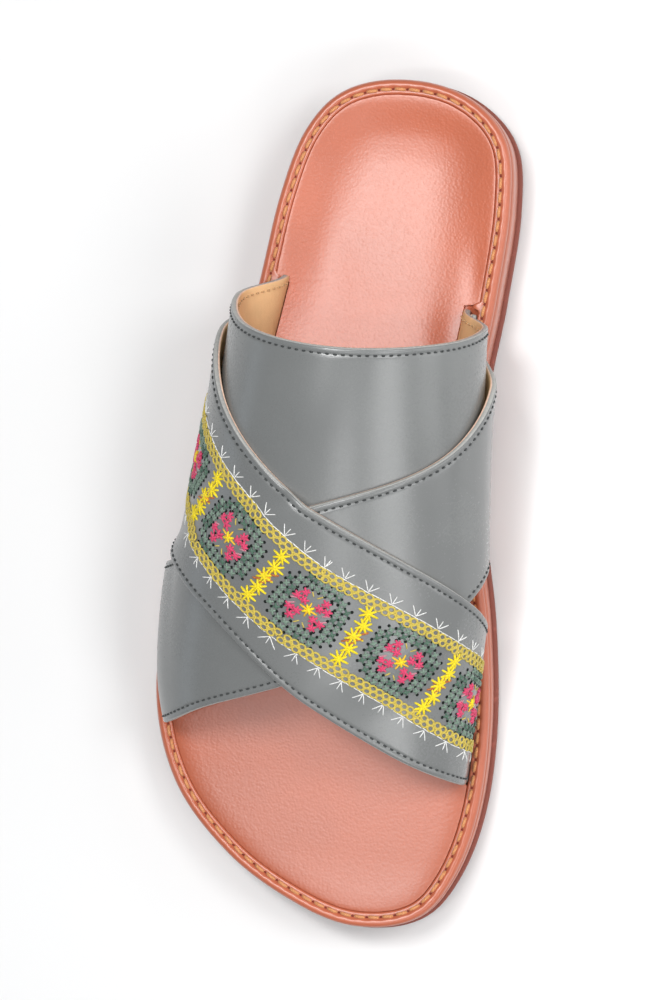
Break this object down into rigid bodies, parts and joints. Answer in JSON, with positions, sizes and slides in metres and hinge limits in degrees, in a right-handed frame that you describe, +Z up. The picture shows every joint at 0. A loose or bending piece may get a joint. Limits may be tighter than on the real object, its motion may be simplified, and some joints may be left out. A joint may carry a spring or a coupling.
{
  "type": "arabic sandal",
  "caption": "Slip-on leather sandal for the right foot: saddle band, crossed instep straps with an embroidered band, padded footbed in a wrapped rim, low outsole.",
  "frame": {"origin": "on the floor under the middle of the sole's bounding box", "axes": "+Z up, +Y towards the heel, +X towards the big toe side (medial)"},
  "size_m": [0.1184, 0.288, 0.0886],
  "materials": {
    "outsole": "matt moulded rubber, dark red-brown",
    "midsole": "smooth terracotta leather, soft sheen",
    "insole": "smooth terracotta leather, soft sheen",
    "upper": "smooth grey leather, semi-gloss"
  },
  "bodies": {
    "root": {"outsole": "outsole", "midsole": "midsole", "insole": "insole", "upper": "upper"}
  },
  "joints": []
}
